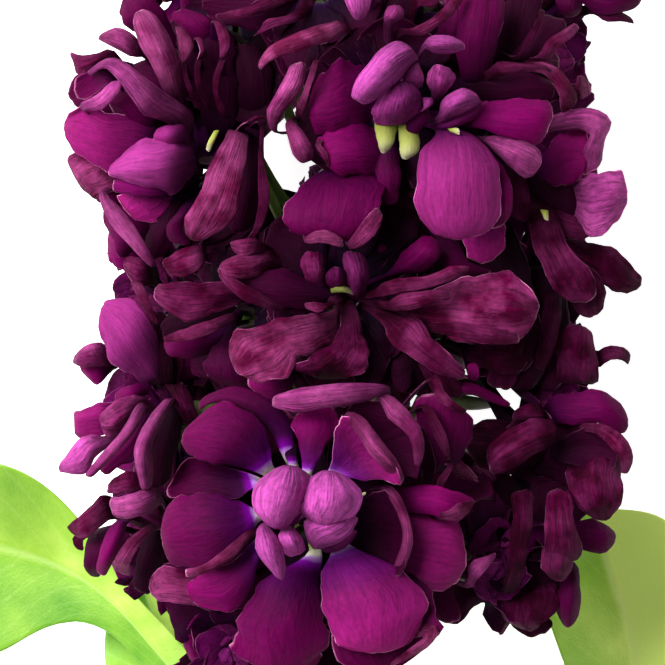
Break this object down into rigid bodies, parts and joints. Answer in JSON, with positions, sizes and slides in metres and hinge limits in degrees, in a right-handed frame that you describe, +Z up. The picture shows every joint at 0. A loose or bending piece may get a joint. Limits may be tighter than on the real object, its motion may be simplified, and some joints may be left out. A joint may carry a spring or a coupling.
{
  "type": "cut stock flower stem",
  "caption": "Cut stem of double stock lying on its side: a dense spike of ruffled double florets and closed buds over a bare stem with long grey-green leaves.",
  "frame": {"origin": "on the table under the centre of the whole stem's box", "axes": "+Y along the stem towards the tip of the spike, +Z up from the table it lies on"},
  "size_m": [0.1433, 0.3002, 0.071],
  "materials": {
    "petal": "soft velvety deep purple",
    "stem": "smooth fleshy green",
    "leaf": "soft matt green with a pale bloom"
  },
  "bodies": {
    "root": {"stem": "stem", "leaf_01": "leaf", "leaf_02": "leaf", "leaf_03": "leaf", "leaf_04": "leaf", "leaf_05": "leaf", "leaf_06": "leaf", "leaf_07": "leaf", "leaf_08": "leaf", "floret_01": "petal", "floret_02": "petal", "floret_03": "petal", "floret_04": "petal", "floret_05": "petal", "floret_06": "petal", "floret_07": "petal", "floret_08": "petal", "floret_09": "petal", "floret_10": "petal", "floret_11": "petal", "floret_12": "petal", "floret_13": "petal", "floret_14": "petal", "floret_15": "petal", "floret_16": "petal", "floret_17": "petal", "floret_18": "petal", "floret_19": "petal", "floret_20": "petal", "floret_21": "petal", "floret_22": "petal", "floret_23": "petal", "floret_24": "petal", "floret_25": "petal", "floret_26": "petal", "floret_27": "petal", "floret_28": "petal", "floret_29": "petal", "floret_30": "petal", "floret_31": "petal", "floret_32": "petal", "floret_33": "petal", "floret_34": "petal", "floret_35": "petal"}
  },
  "joints": []
}
